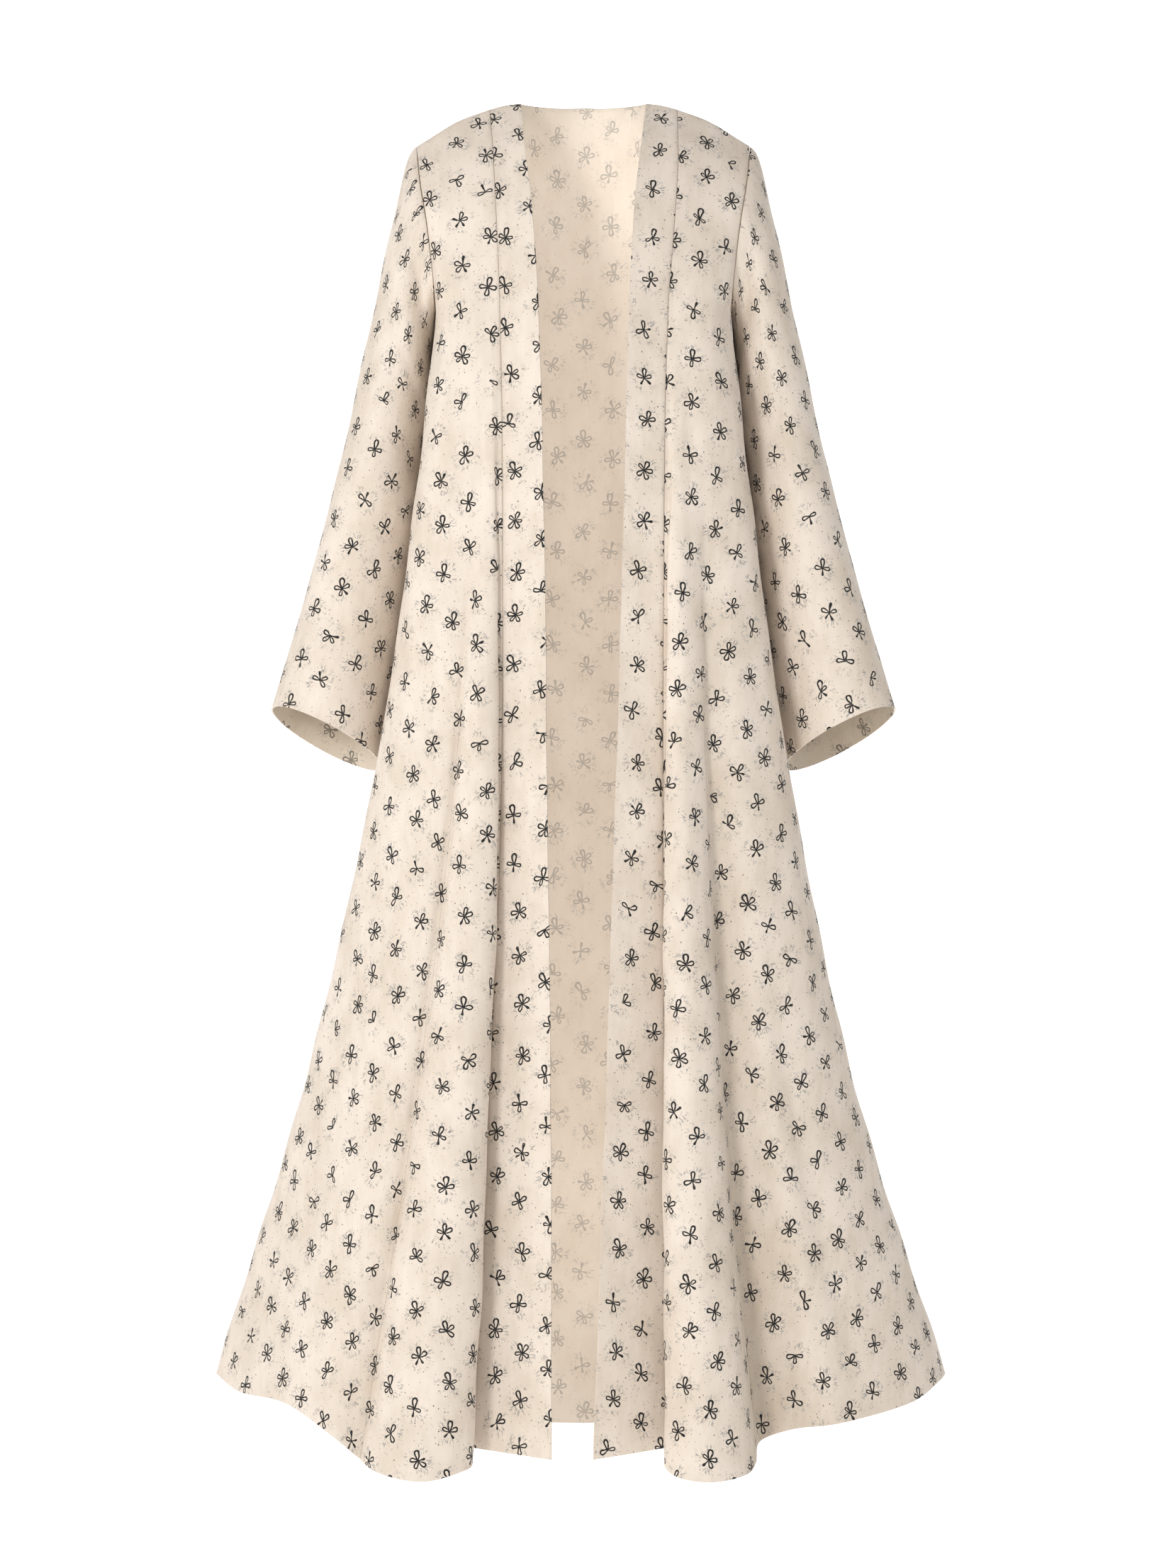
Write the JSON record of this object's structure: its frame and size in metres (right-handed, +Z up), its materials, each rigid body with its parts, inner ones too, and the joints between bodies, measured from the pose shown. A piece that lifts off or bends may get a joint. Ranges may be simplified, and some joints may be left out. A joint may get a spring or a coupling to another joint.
{
  "type": "abaya",
  "caption": "Long open-front abaya in printed cotton with plain front bands, set-in wide sleeves and a flared hem, hollow and filled out as worn",
  "frame": {"origin": "midway between the two side-neck points of the shoulder seams, where the wearer's shoulders hold the garment", "axes": "+Z up along the length, the front opening faces -Y, the wearer's left sleeve is on +X"},
  "size_m": [0.7666, 0.3756, 1.421],
  "materials": {
    "cloth_back": "matte",
    "cloth_front": "matte",
    "cloth_band": "matte",
    "cloth_sleeve": "matte"
  },
  "bodies": {
    "root": {"back": "cloth_back", "front_right": "cloth_front", "front_left": "cloth_front", "band_right": "cloth_band", "band_left": "cloth_band", "sleeve_right": "cloth_sleeve", "sleeve_left": "cloth_sleeve"}
  },
  "joints": []
}
